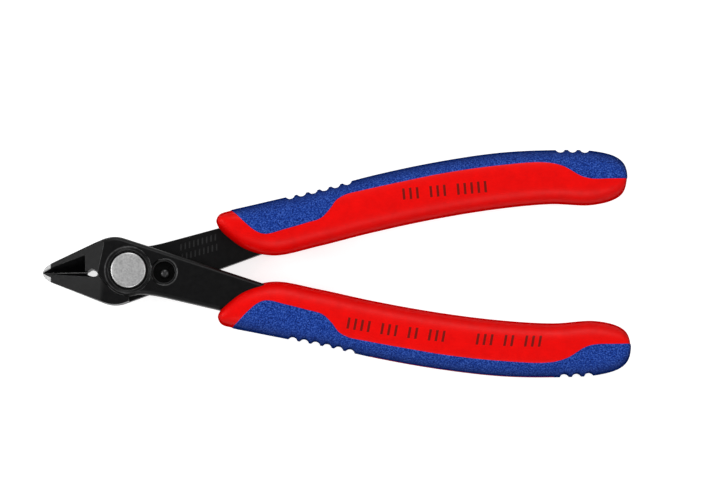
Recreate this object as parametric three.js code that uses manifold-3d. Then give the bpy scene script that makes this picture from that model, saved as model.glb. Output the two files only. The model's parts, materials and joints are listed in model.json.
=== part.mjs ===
// Flush cutter for electronics work, 125 mm long: two steel halves crossing in a lap joint on a flush
// rivet, with an opening spring and an opening stop inside the joint, and two-component plastic grips.
// Millimetres. The cutter lies flat on Z = 0 with its front face up and its tip towards -X.
import * as THREE from 'three';
import { mergeVertices } from 'three/addons/utils/BufferGeometryUtils.js';
import { LoftGeometry } from 'three/addons/geometries/LoftGeometry.js';
import Module from 'manifold-3d';

const wasm = await Module();
wasm.setup();

// ---- Driving dimensions. Everything is drawn in the joint's frame: the pivot axis is the Z axis, the
// plane between the two halves is Z = 0, and X runs along the middle of the tool towards the grips. ----
const overallLength = 125;
const tipToPivot = 18.45;
const headThickness = 7;
const gripThickness = 11;
const lapGap = 0.1; // between the two halves' sliding faces
const bladeGap = 0.04; // between the closed cutting edges
const lapClearance = 0.15; // around the round boss of each half
const frontRounding = 1.1; // on the outer face of each half
const innerRounding = 0.5; // on the other face of its jaw
const faceZ = headThickness / 2;
const lapZ = lapGap / 2;

const bossRadius = 5.5;
const throat = { x: -6.6, y: 0.49 }; // where the boss meets the jaws
const bossShoulder = { x: -4.71, y: 2.83 }; // where the boss's arc starts, 149 degrees round
const bossEnd = { x: 1.61, y: -5.26 }; // where it runs into the arm's edge

const ridge = { x: -6.4, lean: 0.23 }; // across the head, where the jaws start to taper
const tipZ = -2.4; // front of the tapered nose
const noseStart = { x: -15.8, y: 2.37 }; // where the jaws' straight sides meet the rounded nose
const noseBlank = 1.2; // length left square beyond the nose, before it is rounded
const bevelEnd = -9.2; // where the upper jaw's bevel stops

const shankRadius = 2.6;
const shankClearance = 0.06;
const rivetHeadRadius = 3.75;
const rivetSeatRadius = 4.25;
const rivetSeatDepth = 1.3;
const rivetRimRadius = 5; // widest part of the countersink round the seat
const rivetRimDepth = 0.4;
const rivetEndRadius = 1.8;
const rivetEdge = 0.2; // chamfer of the rivet and the collar
const rivetProud = 0.1; // the head stands out of the front face by this much
const faceClearance = 0.05;

const stopHole = { x: 7.6, y: -0.54, radius: 2.3, rim: 2.85, rimDepth: 0.35 };
const stopPin = { x: 7.7, y: -0.77, radius: 0.95, top: 2.1, dome: 0.45 };
const stopPinClearance = 0.05;

const springWire = 0.7;
const springCoilRadius = 3.5;
const springTurns = 1.5;
const springLegZ = 0.6; // height of each leg from the lap plane
const springLegEnd = { x: 6.6, y: -3.7 };
const springPocketRadius = 4.15;
const springPocketDepth = 1.1;
const springGrooveWidth = 1.1;
const springEndRoom = 0.3; // of the groove beyond the leg's end

const seamGap = 0.12; // between parts that are moulded onto each other
const overlayThickness = 1.4;
const seamRibHalfHeight = 1; // the core's rib that parts the overlay along the outer edge
const seamRibSpan = { start: 51, end: 90 }; // along X
const socketRounding = 0.5; // of the room for the arm
const sectionPower = 0.8; // of the sine and cosine that draw a grip's section; 1 would be an ellipse
const edgeFlattening = 1.04; // how far the rounded section is cut back to leave flat flanks
const fullHalfWidth = 4.5; // a grip is full thickness where its half width is at least this
const endPower = 2.4; // of the curve by which its thickness falls away towards its ends
const grooveRadius = 1;
const grooveOffset = 0.25; // of each grip groove's axis, outside the grip's edge
const grooveSets = [{ start: 34.7, pitch: 2.43, count: 6 }, { start: 92.4, pitch: 2.6, count: 3 }];
const far = 120; // beyond the object, for cutting solids
const roundSegments = 48;

// ---- Solids ----

// A closed geometry as a manifold-3d solid.
function solid(geometry) {
  const bare = geometry.index ? geometry.toNonIndexed() : geometry.clone();
  bare.deleteAttribute('normal');
  bare.deleteAttribute('uv');
  const merged = mergeVertices(bare, 1e-4);
  const triVerts = new Uint32Array(merged.index.array);
  return new wasm.Manifold(new wasm.Mesh({
    numProp: 3,
    vertProperties: merged.attributes.position.array,
    triVerts,
  }));
}

function geometryOf(body) {
  const mesh = body.getMesh();
  const geometry = new THREE.BufferGeometry();
  geometry.setAttribute('position', new THREE.BufferAttribute(new Float32Array(mesh.vertProperties), 3));
  geometry.setIndex(new THREE.BufferAttribute(new Uint32Array(mesh.triVerts), 1));
  const faceted = geometry.toNonIndexed();
  faceted.computeVertexNormals();
  return faceted;
}

// An upright prism on an outline in the XY plane.
function prism(shape, bottom, top, curveSegments = 10) {
  const depth = top - bottom;
  const geometry = new THREE.ExtrudeGeometry(shape, { depth, bevelEnabled: false, curveSegments });
  return solid(geometry.translate(0, 0, bottom));
}

// The same with its edges rounded by `rounding` at both ends, and its outline grown by `growth`.
function roundedPrism(shape, bottom, top, rounding, growth = 0, bevelSegments = 2) {
  const geometry = new THREE.ExtrudeGeometry(shape, {
    depth: top - bottom - 2 * rounding,
    bevelThickness: rounding,
    bevelSize: rounding,
    bevelOffset: growth - rounding,
    bevelSegments,
    curveSegments: 6,
  });
  return solid(geometry.translate(0, 0, bottom + rounding));
}

function cylinder(x, y, radius, bottom, top, topRadius = radius, segments = 32) {
  const geometry = new THREE.CylinderGeometry(topRadius, radius, top - bottom, segments);
  return solid(geometry.rotateX(Math.PI / 2).translate(x, y, (bottom + top) / 2));
}

// A body of revolution about the pivot axis, from [radius, z] points that run from its bottom to its top.
function turned(profile, segments = roundSegments) {
  const points = profile.map(([radius, z]) => new THREE.Vector2(radius, z));
  return solid(new THREE.LatheGeometry(points, segments).rotateX(Math.PI / 2));
}

// Everything on the side of the plane through a, b and c that its normal points to.
function sideOf(a, b, c) {
  const plane = new THREE.Plane().setFromCoplanarPoints(a, b, c);
  const box = new THREE.BoxGeometry(2 * far, 2 * far, 2 * far).translate(0, 0, far);
  const turn = new THREE.Quaternion().setFromUnitVectors(new THREE.Vector3(0, 0, 1), plane.normal);
  return solid(box.applyQuaternion(turn).translate(a.x, a.y, a.z));
}

function point(x, y, z = 0) {
  return new THREE.Vector3(x, y, z);
}

function polygon(points) {
  return new THREE.Shape(points.map(([x, y]) => new THREE.Vector2(x, y)));
}

// Half a turn about the X axis, which carries one half of the tool onto the other.
function turnedOver(body) {
  return solid(geometryOf(body).rotateX(Math.PI));
}

// ---- Steel halves ----

// Outline of the head and of the arm that runs down to the right into its grip. Its nose is left square.
function halfOutline() {
  return new THREE.Shape()
    .moveTo(-tipToPivot - noseBlank, -2)
    .lineTo(-tipToPivot - noseBlank, 2)
    .lineTo(noseStart.x, noseStart.y)
    .lineTo(-5.6, 6.62)
    .quadraticCurveTo(-3.1, 7.65, -0.8, 6.86)
    .lineTo(33, -4.8)
    .bezierCurveTo(50, -10.7, 68, -14.2, 84, -15.7)
    .bezierCurveTo(89.5, -16.2, 89.5, -20.4, 84, -20.6)
    .bezierCurveTo(66, -19.9, 50, -16.5, 33, -12.3)
    .lineTo(8.5, -6.12)
    .bezierCurveTo(6.5, -5.62, 3.2, -4.9, bossEnd.x, bossEnd.y)
    .lineTo(-0.8, -6.86)
    .quadraticCurveTo(-3.1, -7.65, -5.6, -6.62)
    .lineTo(noseStart.x, -noseStart.y);
}

// Everything inside the rounded nose.
function noseOutline() {
  return new THREE.Shape()
    .moveTo(-tipToPivot, 0)
    .quadraticCurveTo(-18.5, -1.3, noseStart.x, -noseStart.y)
    .lineTo(noseStart.x, -far)
    .lineTo(far, -far)
    .lineTo(far, far)
    .lineTo(noseStart.x, far)
    .lineTo(noseStart.x, noseStart.y)
    .quadraticCurveTo(-18.5, 1.3, -tipToPivot, 0);
}

// Room for the other half: everything beyond the boss's edge on the side below the X axis.
// The edge runs along the cutting edge to the throat, round the boss, and out at `endAngle`.
function roomBelow(clearance, endAngle) {
  const slope = Math.atan2(bossShoulder.y - throat.y, bossShoulder.x - throat.x);
  const dx = -clearance * Math.sin(slope);
  const dy = -clearance * Math.cos(slope);
  const start = Math.atan2(-bossShoulder.y, bossShoulder.x);
  const radius = bossRadius + clearance;
  const edge = bladeGap / 2;
  return new THREE.Shape()
    .moveTo(-far, edge)
    .lineTo(throat.x + dx, edge)
    .lineTo(throat.x + dx, -throat.y + dy)
    .absarc(0, 0, radius, start, endAngle, false)
    .lineTo(radius * Math.cos(endAngle), -far)
    .lineTo(-far, -far);
}

// The front half as it is before its jaw is ground: the jaw is as thick as the head, and the boss and
// the arm lie in front of the lap plane.
function halfBlank() {
  const outline = halfOutline();
  const rounded = roundedPrism(outline, -far, faceZ, frontRounding)
    .intersect(roundedPrism(outline, -faceZ, far, innerRounding))
    .intersect(prism(noseOutline(), -far, far));
  const endAngle = Math.atan2(bossEnd.y, bossEnd.x);
  const otherJaw = prism(roomBelow(0, endAngle), -far, far, 18);
  const jawOnly = prism(roomBelow(lapClearance, THREE.MathUtils.degToRad(-88)), -far, far, 18);
  const behindLap = solid(new THREE.BoxGeometry(4 * far, 2 * far, far).translate(0, 0, lapZ - far / 2));
  const keptBehind = turnedOver(jawOnly);
  const leftAndAbove = new THREE.BoxGeometry(far, far, 4 * far);
  const leftOfBoss = solid(leftAndAbove.translate(-far / 2, far / 2 + bladeGap / 2, 0));
  const jawBehind = rounded.intersect(behindLap).intersect(keptBehind).intersect(leftOfBoss);
  return rounded.subtract(behindLap).subtract(otherJaw).add(jawBehind);
}

// What grinding takes off a jaw's front, from the ridge across the head to the tip. `side` is 1 for the
// upper jaw and -1 for the lower one.
function taperGrind(side) {
  const a = point(ridge.x, 0, faceZ);
  const b = point(ridge.x + 5 * ridge.lean, 5 * side, faceZ);
  const c = point(-tipToPivot, 0, tipZ);
  return side > 0 ? sideOf(a, b, c) : sideOf(a, c, b);
}

// The upper jaw's bevel is a hollow: a steep wall falls to a flatter floor along the cutting edge.
function upperBevel() {
  const box = new THREE.BoxGeometry(far, far, far).translate(bevelEnd - far / 2, 0, 0);
  const wall = sideOf(point(-16.6, 1.15, -1.62), point(bevelEnd, 1.05, -2.2), point(bevelEnd, 3.48, 1.73));
  const floor = sideOf(point(-16.6, 0, -2.7), point(bevelEnd, 0, -3), point(bevelEnd, 1, -2.25));
  return solid(box).intersect(wall).intersect(floor);
}

// The lower jaw's bevel is narrow and steep, and runs back to the throat.
function lowerBevel() {
  const box = new THREE.BoxGeometry(far, far, far).translate(throat.x - far / 2, 0, 0);
  return solid(box)
    .intersect(sideOf(point(-17.5, 0, -2.95), point(bevelEnd, -1.15, 2), point(bevelEnd, 0, -3.25)));
}

// The lower jaw's shoulder beside the boss slopes away a little.
function shoulderGrind() {
  return sideOf(point(-6, -2.4, faceZ), point(-3, -7.2, faceZ - 0.55), point(0.6, -5.7, faceZ));
}

// Bores and pockets that both halves have, cut from the front half.
function jointCuts() {
  const seatZ = faceZ - rivetSeatDepth;
  const leg = new THREE.Vector2(springLegEnd.x, springLegEnd.y + springCoilRadius);
  const across = new THREE.Vector2(-leg.y, leg.x).setLength(springGrooveWidth / 2);
  const legStart = new THREE.Vector2(0, -springCoilRadius);
  const legEnd = new THREE.Vector2(springLegEnd.x, springLegEnd.y);
  legEnd.addScaledVector(leg.normalize(), springEndRoom);
  const groove = new THREE.Shape([
    legStart.clone().add(across),
    legStart.clone().sub(across),
    legEnd.clone().sub(across),
    legEnd.clone().add(across),
  ]);
  const pocketTop = lapZ + springPocketDepth;
  return cylinder(0, 0, shankRadius + shankClearance, -far, far, undefined, roundSegments)
    .add(cylinder(0, 0, rivetSeatRadius, seatZ, far, undefined, roundSegments))
    .add(cylinder(0, 0, rivetSeatRadius, faceZ - rivetRimDepth, faceZ, rivetRimRadius, roundSegments))
    .add(cylinder(0, 0, springPocketRadius, -lapZ, pocketTop, undefined, roundSegments))
    .add(prism(groove, -lapZ, pocketTop));
}

// The gap behind the cutting edges that keeps the wire ends clear of the joint.
function throatNotch() {
  const outline = [
    [-9, -0.35], [-8.6, -0.72], [-8.1, -1.02], [-7.5, -1.2], [-7, -1.12], [-6.6, -0.8],
    [-6.6, -0.3], [-6.85, 0], [-7.15, 0.25], [-7.5, 0.43], [-7.8, 0.47], [-8.2, 0.3], [-8.65, 0],
  ];
  return prism(polygon(outline), -far, far);
}

// The front half carries the upper jaw and the lower grip.
function frontHalf() {
  const stop = cylinder(stopHole.x, stopHole.y, stopHole.radius, -far, far)
    .add(cylinder(stopHole.x, stopHole.y, stopHole.radius, faceZ - stopHole.rimDepth, faceZ, stopHole.rim));
  return halfBlank()
    .subtract(jointCuts())
    .subtract(throatNotch())
    .subtract(taperGrind(1))
    .subtract(upperBevel())
    .subtract(stop);
}

// The rear half carries the lower jaw and the upper grip, and holds the stop pin.
function rearHalf() {
  const pinHole = cylinder(stopPin.x, stopPin.y, stopPin.radius + stopPinClearance, -far, far);
  return turnedOver(halfBlank().subtract(jointCuts()))
    .subtract(throatNotch())
    .subtract(taperGrind(-1))
    .subtract(shoulderGrind())
    .subtract(lowerBevel())
    .subtract(pinHole);
}

// ---- Joint ----

function pivotRivet() {
  const seatZ = faceZ - rivetSeatDepth + faceClearance;
  const top = faceZ + rivetProud;
  const bottom = -faceZ - faceClearance;
  return turned([
    [0, bottom],
    [rivetEndRadius - rivetEdge, bottom],
    [rivetEndRadius, bottom + rivetEdge],
    [rivetEndRadius, -seatZ],
    [shankRadius, -seatZ],
    [shankRadius, seatZ],
    [rivetHeadRadius, seatZ],
    [rivetHeadRadius, top - rivetEdge],
    [rivetHeadRadius - rivetEdge, top],
    [0, top],
  ]);
}

// The ring that the rivet's end is closed over, in the seat at the back.
function rivetCollar() {
  const seatZ = -(faceZ - rivetSeatDepth + faceClearance) - faceClearance;
  const bottom = -faceZ;
  const inner = rivetEndRadius + faceClearance;
  return turned([
    [inner, bottom],
    [rivetHeadRadius - rivetEdge, bottom],
    [rivetHeadRadius, bottom + rivetEdge],
    [rivetHeadRadius, seatZ],
    [inner, seatZ],
    [inner, bottom],
  ]);
}

// The pin that the stop hole's wall meets when the jaws are fully open. Its end is domed.
function stopPinBody() {
  const bottom = -faceZ + 2 * faceClearance;
  return turned([
    [0, bottom],
    [stopPin.radius, bottom],
    [stopPin.radius, stopPin.top - stopPin.dome],
    [stopPin.radius * 0.8, stopPin.top - stopPin.dome * 0.35],
    [stopPin.radius * 0.4, stopPin.top - stopPin.dome * 0.07],
    [0, stopPin.top],
  ], 24);
}

class SpringPath extends THREE.Curve {
  // The leg in the rear half, the coil round the rivet, and the leg in the front half.
  getPoint(t, target = new THREE.Vector3()) {
    const legLength = Math.hypot(springLegEnd.x, springLegEnd.y + springCoilRadius);
    const coilLength = 2 * Math.PI * springCoilRadius * springTurns;
    const along = t * (2 * legLength + coilLength);
    const legStep = (springLegEnd.y + springCoilRadius) / legLength;
    const legRun = springLegEnd.x / legLength;
    if (along < legLength) {
      const left = legLength - along;
      return target.set(legRun * left, springCoilRadius - legStep * left, -springLegZ);
    }
    if (along > legLength + coilLength) {
      const left = along - legLength - coilLength;
      return target.set(legRun * left, -springCoilRadius + legStep * left, springLegZ);
    }
    const share = (along - legLength) / coilLength;
    const angle = Math.PI / 2 + share * springTurns * 2 * Math.PI;
    const z = -springLegZ + 2 * springLegZ * share;
    return target.set(springCoilRadius * Math.cos(angle), springCoilRadius * Math.sin(angle), z);
  }
}

function openingSpring() {
  const section = new THREE.Shape().absarc(0, 0, springWire / 2, 0, 2 * Math.PI, false);
  const extrudePath = new SpringPath();
  return solid(new THREE.ExtrudeGeometry(section, { steps: 48, curveSegments: 4, extrudePath }));
}

// ---- Grips ----

// Outer and inner edge of the upper grip at stations from its nose to its end, as [x, y] pairs.
const gripNose = [18.75, 10.3];
const gripEnd = [106.55, 18];
const gripStations = [
  { outer: [19.5, 11.75], inner: [19.25, 8.9] },
  { outer: [22, 12.6], inner: [21.4, 6.65] },
  { outer: [26.5, 13.6], inner: [25.2, 4.05] },
  { outer: [33, 15], inner: [31, 2.7] },
  { outer: [42, 16.95], inner: [40.5, 4.5] },
  { outer: [53, 19.65], inner: [51.5, 7.1] },
  { outer: [66, 22.15], inner: [64.5, 9.7] },
  { outer: [79, 23.85], inner: [78, 11.7] },
  { outer: [90, 24.25], inner: [90, 12.65] },
  { outer: [99.5, 23.9], inner: [99, 12.3] },
  { outer: [104.2, 22.6], inner: [104, 13.5] },
  { outer: [106, 20.9], inner: [105.9, 15.1] },
];
const outlineCount = 2 * gripStations.length + 2;
const gripOutline = new THREE.CatmullRomCurve3(
  [
    gripNose,
    ...gripStations.map((station) => station.outer),
    gripEnd,
    ...gripStations.map((station) => station.inner).reverse(),
  ].map(([x, y]) => point(x, y)),
  true,
);

// A point of the outline moved inwards: `station` counts from 0 at the nose to the end, along the outer
// edge when `side` is 1 and along the inner edge when it is -1.
function gripEdge(station, side, inset) {
  const t = ((side * station) / outlineCount + 1) % 1;
  const at = gripOutline.getPoint(t);
  const along = gripOutline.getTangent(t);
  return at.add(point(along.y, -along.x).multiplyScalar(inset));
}

// The grip's thickness falls away where the grip is narrow, as at its rounded ends.
function gripHalfHeight(halfWidth, inset) {
  const full = gripThickness / 2 - inset;
  const share = Math.min(halfWidth / fullHalfWidth, 1);
  return full * (1 - (1 - share) ** endPower) ** (1 / endPower);
}

// The upper grip as one solid, smaller by `inset` all round.
function gripSolid(inset = 0) {
  const last = gripStations.length + 1;
  const margin = Math.max(0.02, 0.9 * inset);
  const rings = 26;
  const sides = 16;
  const sections = [];
  for (let i = 0; i <= rings; i += 1) {
    const ease = (1 - Math.cos((Math.PI * i) / rings)) / 2;
    const spread = 0.35 * ease + 0.65 * (i / rings);
    const station = THREE.MathUtils.lerp(margin, last - margin, spread);
    const outer = gripEdge(station, 1, inset);
    const inner = gripEdge(station, -1, inset);
    const centre = outer.clone().add(inner).divideScalar(2);
    const half = outer.clone().sub(inner).divideScalar(2);
    const height = gripHalfHeight(half.length() + inset, inset);
    const section = [];
    for (let j = 0; j < sides; j += 1) {
      const angle = (2 * Math.PI * (j + 0.5)) / sides;
      const c = Math.cos(angle);
      const s = Math.sin(angle);
      const wide = Math.sign(c) * Math.abs(c) ** sectionPower;
      const tall = Math.sign(s) * Math.min(Math.abs(s) ** sectionPower * edgeFlattening, 1);
      section.push(centre.clone().addScaledVector(half, wide).add(point(0, 0, height * tall)));
    }
    sections.push(section);
  }
  return solid(new LoftGeometry(sections, { capStart: true, capEnd: true }));
}

// Outline of the soft overlay on the grip's flanks: a pad behind the nose, a strip along the outer
// edge, and a pad at the end. It is drawn past the grip's outer edge. `growth` moves its inner edge.
const overlayEdge = [
  [20.6, 13.6], [23, 11.54], [25.05, 9.42], [27.3, 7.6], [29.3, 6.95], [33.4, 7.9], [38, 9.15],
  [41.2, 10.15], [43.2, 12.1], [44.6, 14], [46.6, 15.15], [50, 15.95], [58.2, 17.6], [68, 19.4],
  [79.5, 20.8], [89, 21.25], [92.8, 20.35], [96.6, 18.15], [98.8, 17.55], [103, 17.5], [109, 17.5],
];

function overlayOutline(growth) {
  const curve = new THREE.CatmullRomCurve3(overlayEdge.map(([x, y]) => point(x, y)), false, 'centripetal');
  const edge = [];
  const steps = 34;
  for (let i = 0; i <= steps; i += 1) {
    const along = curve.getTangent(i / steps);
    const at = curve.getPoint(i / steps).add(point(along.y, -along.x).multiplyScalar(growth));
    edge.push([at.x, at.y]);
  }
  return polygon([...edge, [109, 30], [20.6, 30]]);
}

// The point of the grip's outer edge at a given x, and the direction out of the grip there.
function outerEdgeAt(x) {
  let low = 1;
  let high = gripStations.length;
  for (let i = 0; i < 30; i += 1) {
    const middle = (low + high) / 2;
    if (gripEdge(middle, 1, 0).x < x) low = middle;
    else high = middle;
  }
  const at = gripEdge(low, 1, 0);
  return { at, out: at.clone().sub(gripEdge(low, 1, 1)) };
}

// Rounded grooves across the outer edge: six for the finger tips and three at the end.
function gripGrooves() {
  return grooveSets
    .flatMap(({ start, pitch, count }) => Array.from({ length: count }, (_, i) => start + pitch * i))
    .map((x) => {
      const { at, out } = outerEdgeAt(x);
      at.addScaledVector(out, grooveOffset);
      return cylinder(at.x, at.y, grooveRadius, -far, far, undefined, 10);
    })
    .reduce((all, groove) => all.add(groove));
}

// The band of the outer edge between the two sets of grooves, where the core shows between the overlay's
// two strips.
function seamRib(growth) {
  const start = seamRibSpan.start - growth;
  const length = seamRibSpan.end + growth - start;
  const steps = 12;
  const edge = Array.from({ length: steps + 1 }, (_, i) => outerEdgeAt(start + (length * i) / steps));
  const outside = edge.map(({ at, out }) => [at.x + 3 * out.x, at.y + 3 * out.y]);
  const inside = edge.map(({ at, out }) => [at.x - 3.4 * out.x, at.y - 3.4 * out.y]).reverse();
  const half = seamRibHalfHeight + growth;
  return prism(polygon([...outside, ...inside]), -half, half);
}

// The grip on the upper arm, as its hard core and its soft overlay.
function upperGrip() {
  const whole = gripSolid();
  const under = gripSolid(overlayThickness);
  const bed = gripSolid(overlayThickness + seamGap);
  const overlay = whole
    .intersect(prism(overlayOutline(0), -far, far))
    .subtract(under)
    .subtract(gripGrooves())
    .subtract(seamRib(seamGap));
  const room = prism(overlayOutline(seamGap), -far, far).subtract(bed).subtract(seamRib(0));
  return { overlay, core: whole.subtract(room).subtract(turnedOver(armSocket())) };
}

// Room for the front half's arm and tang in its grip.
function armSocket() {
  return roundedPrism(halfOutline(), -far, faceZ + seamGap, socketRounding, seamGap, 1)
    .subtract(solid(new THREE.BoxGeometry(4 * far, 2 * far, far).translate(0, 0, lapZ - seamGap - far / 2)));
}

// ---- Assembly ----

const materials = {
  burnished: new THREE.MeshStandardMaterial({ color: 0x1c1c1e, roughness: 0.45, metalness: 0.8 }),
  ground: new THREE.MeshStandardMaterial({ color: 0xb8b8ba, roughness: 0.35, metalness: 1 }),
  spring: new THREE.MeshStandardMaterial({ color: 0x8c8f94, roughness: 0.3, metalness: 1 }),
  hard: new THREE.MeshStandardMaterial({ color: 0xe30c0c, roughness: 0.45, metalness: 0 }),
  soft: new THREE.MeshStandardMaterial({ color: 0x23389c, roughness: 0.75, metalness: 0 }),
};

const joint = new THREE.Group();
joint.position.set(tipToPivot - overallLength / 2, 0, gripThickness / 2);

function place(name, body, material, parent = joint) {
  const mesh = new THREE.Mesh(geometryOf(body), material);
  mesh.name = name;
  parent.add(mesh);
  return mesh;
}

place('front_half', frontHalf(), materials.burnished);
place('rear_half', rearHalf(), materials.burnished);
place('pivot_rivet', pivotRivet(), materials.ground);
place('rivet_collar', rivetCollar(), materials.ground);
place('stop_pin', stopPinBody(), materials.burnished).position.set(stopPin.x, stopPin.y, 0);
place('opening_spring', openingSpring(), materials.spring);

const grip = upperGrip();
place('upper_grip_core', grip.core, materials.hard);
place('upper_grip_overlay', grip.overlay, materials.soft);

const lowerGrip = new THREE.Group();
lowerGrip.rotation.x = Math.PI;
joint.add(lowerGrip);
place('lower_grip_core', grip.core, materials.hard, lowerGrip);
place('lower_grip_overlay', grip.overlay, materials.soft, lowerGrip);

const cutter = new THREE.Group();
cutter.add(joint);

export default cutter;
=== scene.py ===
"""The looks of the flush cutter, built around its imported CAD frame.

The building functions work in millimetres in the joint's frame, as the CAD source does: the pivot axis is
the Z axis, Z = 0 is the plane between the two halves, and X runs along the middle of the closed tool towards
the grips. TO_ROW takes them to the row frame in metres.
"""
import json
import math

import bmesh
import bpy
import numpy as np
from mathutils import Matrix, Vector
from mathutils.kdtree import KDTree


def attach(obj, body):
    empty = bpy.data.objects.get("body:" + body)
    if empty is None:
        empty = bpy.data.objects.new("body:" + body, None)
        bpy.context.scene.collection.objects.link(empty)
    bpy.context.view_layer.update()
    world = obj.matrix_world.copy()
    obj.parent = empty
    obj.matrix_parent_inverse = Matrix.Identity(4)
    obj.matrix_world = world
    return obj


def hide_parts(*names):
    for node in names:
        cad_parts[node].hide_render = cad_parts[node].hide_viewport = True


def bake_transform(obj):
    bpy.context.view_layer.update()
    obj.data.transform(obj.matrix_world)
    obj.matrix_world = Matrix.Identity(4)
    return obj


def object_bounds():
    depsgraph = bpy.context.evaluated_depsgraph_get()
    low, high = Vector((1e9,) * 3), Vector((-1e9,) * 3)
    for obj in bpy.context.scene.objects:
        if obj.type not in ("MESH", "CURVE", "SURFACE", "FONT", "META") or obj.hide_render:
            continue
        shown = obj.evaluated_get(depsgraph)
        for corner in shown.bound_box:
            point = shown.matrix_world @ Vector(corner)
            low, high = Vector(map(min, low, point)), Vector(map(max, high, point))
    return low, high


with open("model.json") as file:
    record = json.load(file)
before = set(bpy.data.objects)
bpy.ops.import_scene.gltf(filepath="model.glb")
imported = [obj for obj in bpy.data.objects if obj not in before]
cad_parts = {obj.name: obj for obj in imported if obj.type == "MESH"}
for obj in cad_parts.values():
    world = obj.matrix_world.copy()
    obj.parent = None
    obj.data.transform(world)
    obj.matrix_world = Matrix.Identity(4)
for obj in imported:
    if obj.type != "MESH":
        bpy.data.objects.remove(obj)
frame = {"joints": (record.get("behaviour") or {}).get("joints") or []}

cad_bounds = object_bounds()

MM = 0.001
PIVOT = Vector(frame["joints"][0]["pos_m"])
TO_ROW = Matrix.Translation(PIVOT) @ Matrix.Scale(MM, 4)
TURNED_OVER = Matrix.Rotation(math.pi, 4, "X")  # carries one half of the tool onto the other
FAR = 130.0  # beyond the object, for cutting solids

# ---- Sizes, as in the CAD source ----
TIP = 18.45  # pivot to the jaws' tip
FACE_Z = 3.5  # half the head's thickness
LAP_Z = 0.05  # half the gap between the halves
BLADE_EDGE = 0.02  # half the gap between the cutting edges
LAP_CLEARANCE = 0.15
NOSE_START = (-15.8, 2.37)  # where the jaws' straight sides meet the rounded nose
NOSE_BLANK = 1.2  # length left square beyond the nose, before it is rounded
FRONT_ROUND, BACK_ROUND = 1.1, 0.5  # rounding of the forging's rims
BOSS_RADIUS = 5.5
THROAT = (-6.6, -0.49)
BOSS_SHOULDER = (-4.71, -2.83)
BOSS_END = (1.61, -5.26)
OTHER_BOSS_END = math.radians(-88)
RIDGE_X, RIDGE_LEAN = -6.4, 0.23
TIP_Z = -2.4
BEVEL_END = -9.2
STOP_HOLE = (7.6, -0.54)
STOP_HOLE_RADIUS, STOP_RIM_RADIUS, STOP_RIM_DEPTH = 2.3, 2.85, 0.35
STOP_PIN = (7.7, -0.77)
STOP_PIN_RADIUS, STOP_PIN_TOP = 0.95, 2.1
SEAT_RADIUS, SEAT_DEPTH, SEAT_RIM_RADIUS, SEAT_RIM_DEPTH = 4.25, 1.3, 5.0, 0.4
SHANK_RADIUS, RIVET_RADIUS, RIVET_END_RADIUS = 2.6, 3.75, 1.8
SHANK_CLEARANCE, RIVET_GAP, RIVET_PROUD = 0.06, 0.05, 0.1
SPRING_RADIUS, SPRING_WIRE, SPRING_LEG_Z, SPRING_TURNS = 3.5, 0.7, 0.6, 1.5
SPRING_LEG_END = (6.6, -3.7)
SPRING_POCKET_RADIUS, SPRING_POCKET_DEPTH, SPRING_GROOVE, SPRING_END_ROOM = 4.15, 1.1, 1.1, 0.3
GRIP_HALF = 5.5  # half the grips' thickness

# ---- Sizes that only the looks have ----
OVERCUT = 0.01  # how far a cutter stands out of the face it cuts
EDGE_WIDTH = 0.15  # of the broken edges
HATCH_CENTRE, HATCH_TILT, HATCH_DEPTH = (15.0, 4.85), math.radians(15), 0.14
HATCH_PITCH, HATCH_ROW, HATCH_COUNT = 0.95, 1.05, 9


# ---- Meshes ----

def link(name, mesh):
    piece = bpy.data.objects.new(name, mesh)
    bpy.context.scene.collection.objects.link(piece)
    return piece


def piece_from(name, points, faces):
    mesh = bpy.data.meshes.new(name)
    mesh.from_pydata([tuple(map(float, p)) for p in points], [], [tuple(f) for f in faces])
    mesh.update()
    return link(name, mesh)


def face_outwards(piece):
    bm = bmesh.new()
    bm.from_mesh(piece.data)
    bmesh.ops.recalc_face_normals(bm, faces=bm.faces)
    bm.to_mesh(piece.data)
    bm.free()
    return piece


def settle(piece):
    """Applies the piece's modifiers to its mesh."""
    bpy.context.view_layer.update()
    depsgraph = bpy.context.evaluated_depsgraph_get()
    mesh = bpy.data.meshes.new_from_object(piece.evaluated_get(depsgraph))
    piece.modifiers.clear()
    piece.data = mesh
    return piece


def combine(piece, other, operation):
    """Joins `other` to the piece, or cuts the piece with it, and uses it up."""
    modifier = piece.modifiers.new("combine", "BOOLEAN")
    modifier.solver = "MANIFOLD"
    modifier.operation = operation
    modifier.object = other
    settle(piece)
    bpy.data.objects.remove(other)
    return piece


def cut(piece, other):
    return combine(piece, other, "DIFFERENCE")


def keep(piece, other):
    return combine(piece, other, "INTERSECT")


def join(piece, other):
    return combine(piece, other, "UNION")


def copy_of(piece, turn=None):
    twin = link(piece.name + "_copy", piece.data.copy())
    if turn is not None:
        twin.data.transform(turn)
    return twin


def prism(points, bottom, top):
    """An upright prism on an outline that runs anticlockwise."""
    count = len(points)
    corners = [(x, y, z) for z in (bottom, top) for x, y in points]
    sides = [(i, (i + 1) % count, count + (i + 1) % count, count + i) for i in range(count)]
    caps = [tuple(reversed(range(count))), tuple(range(count, 2 * count))]
    return piece_from("cutter", corners, sides + caps)


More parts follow.
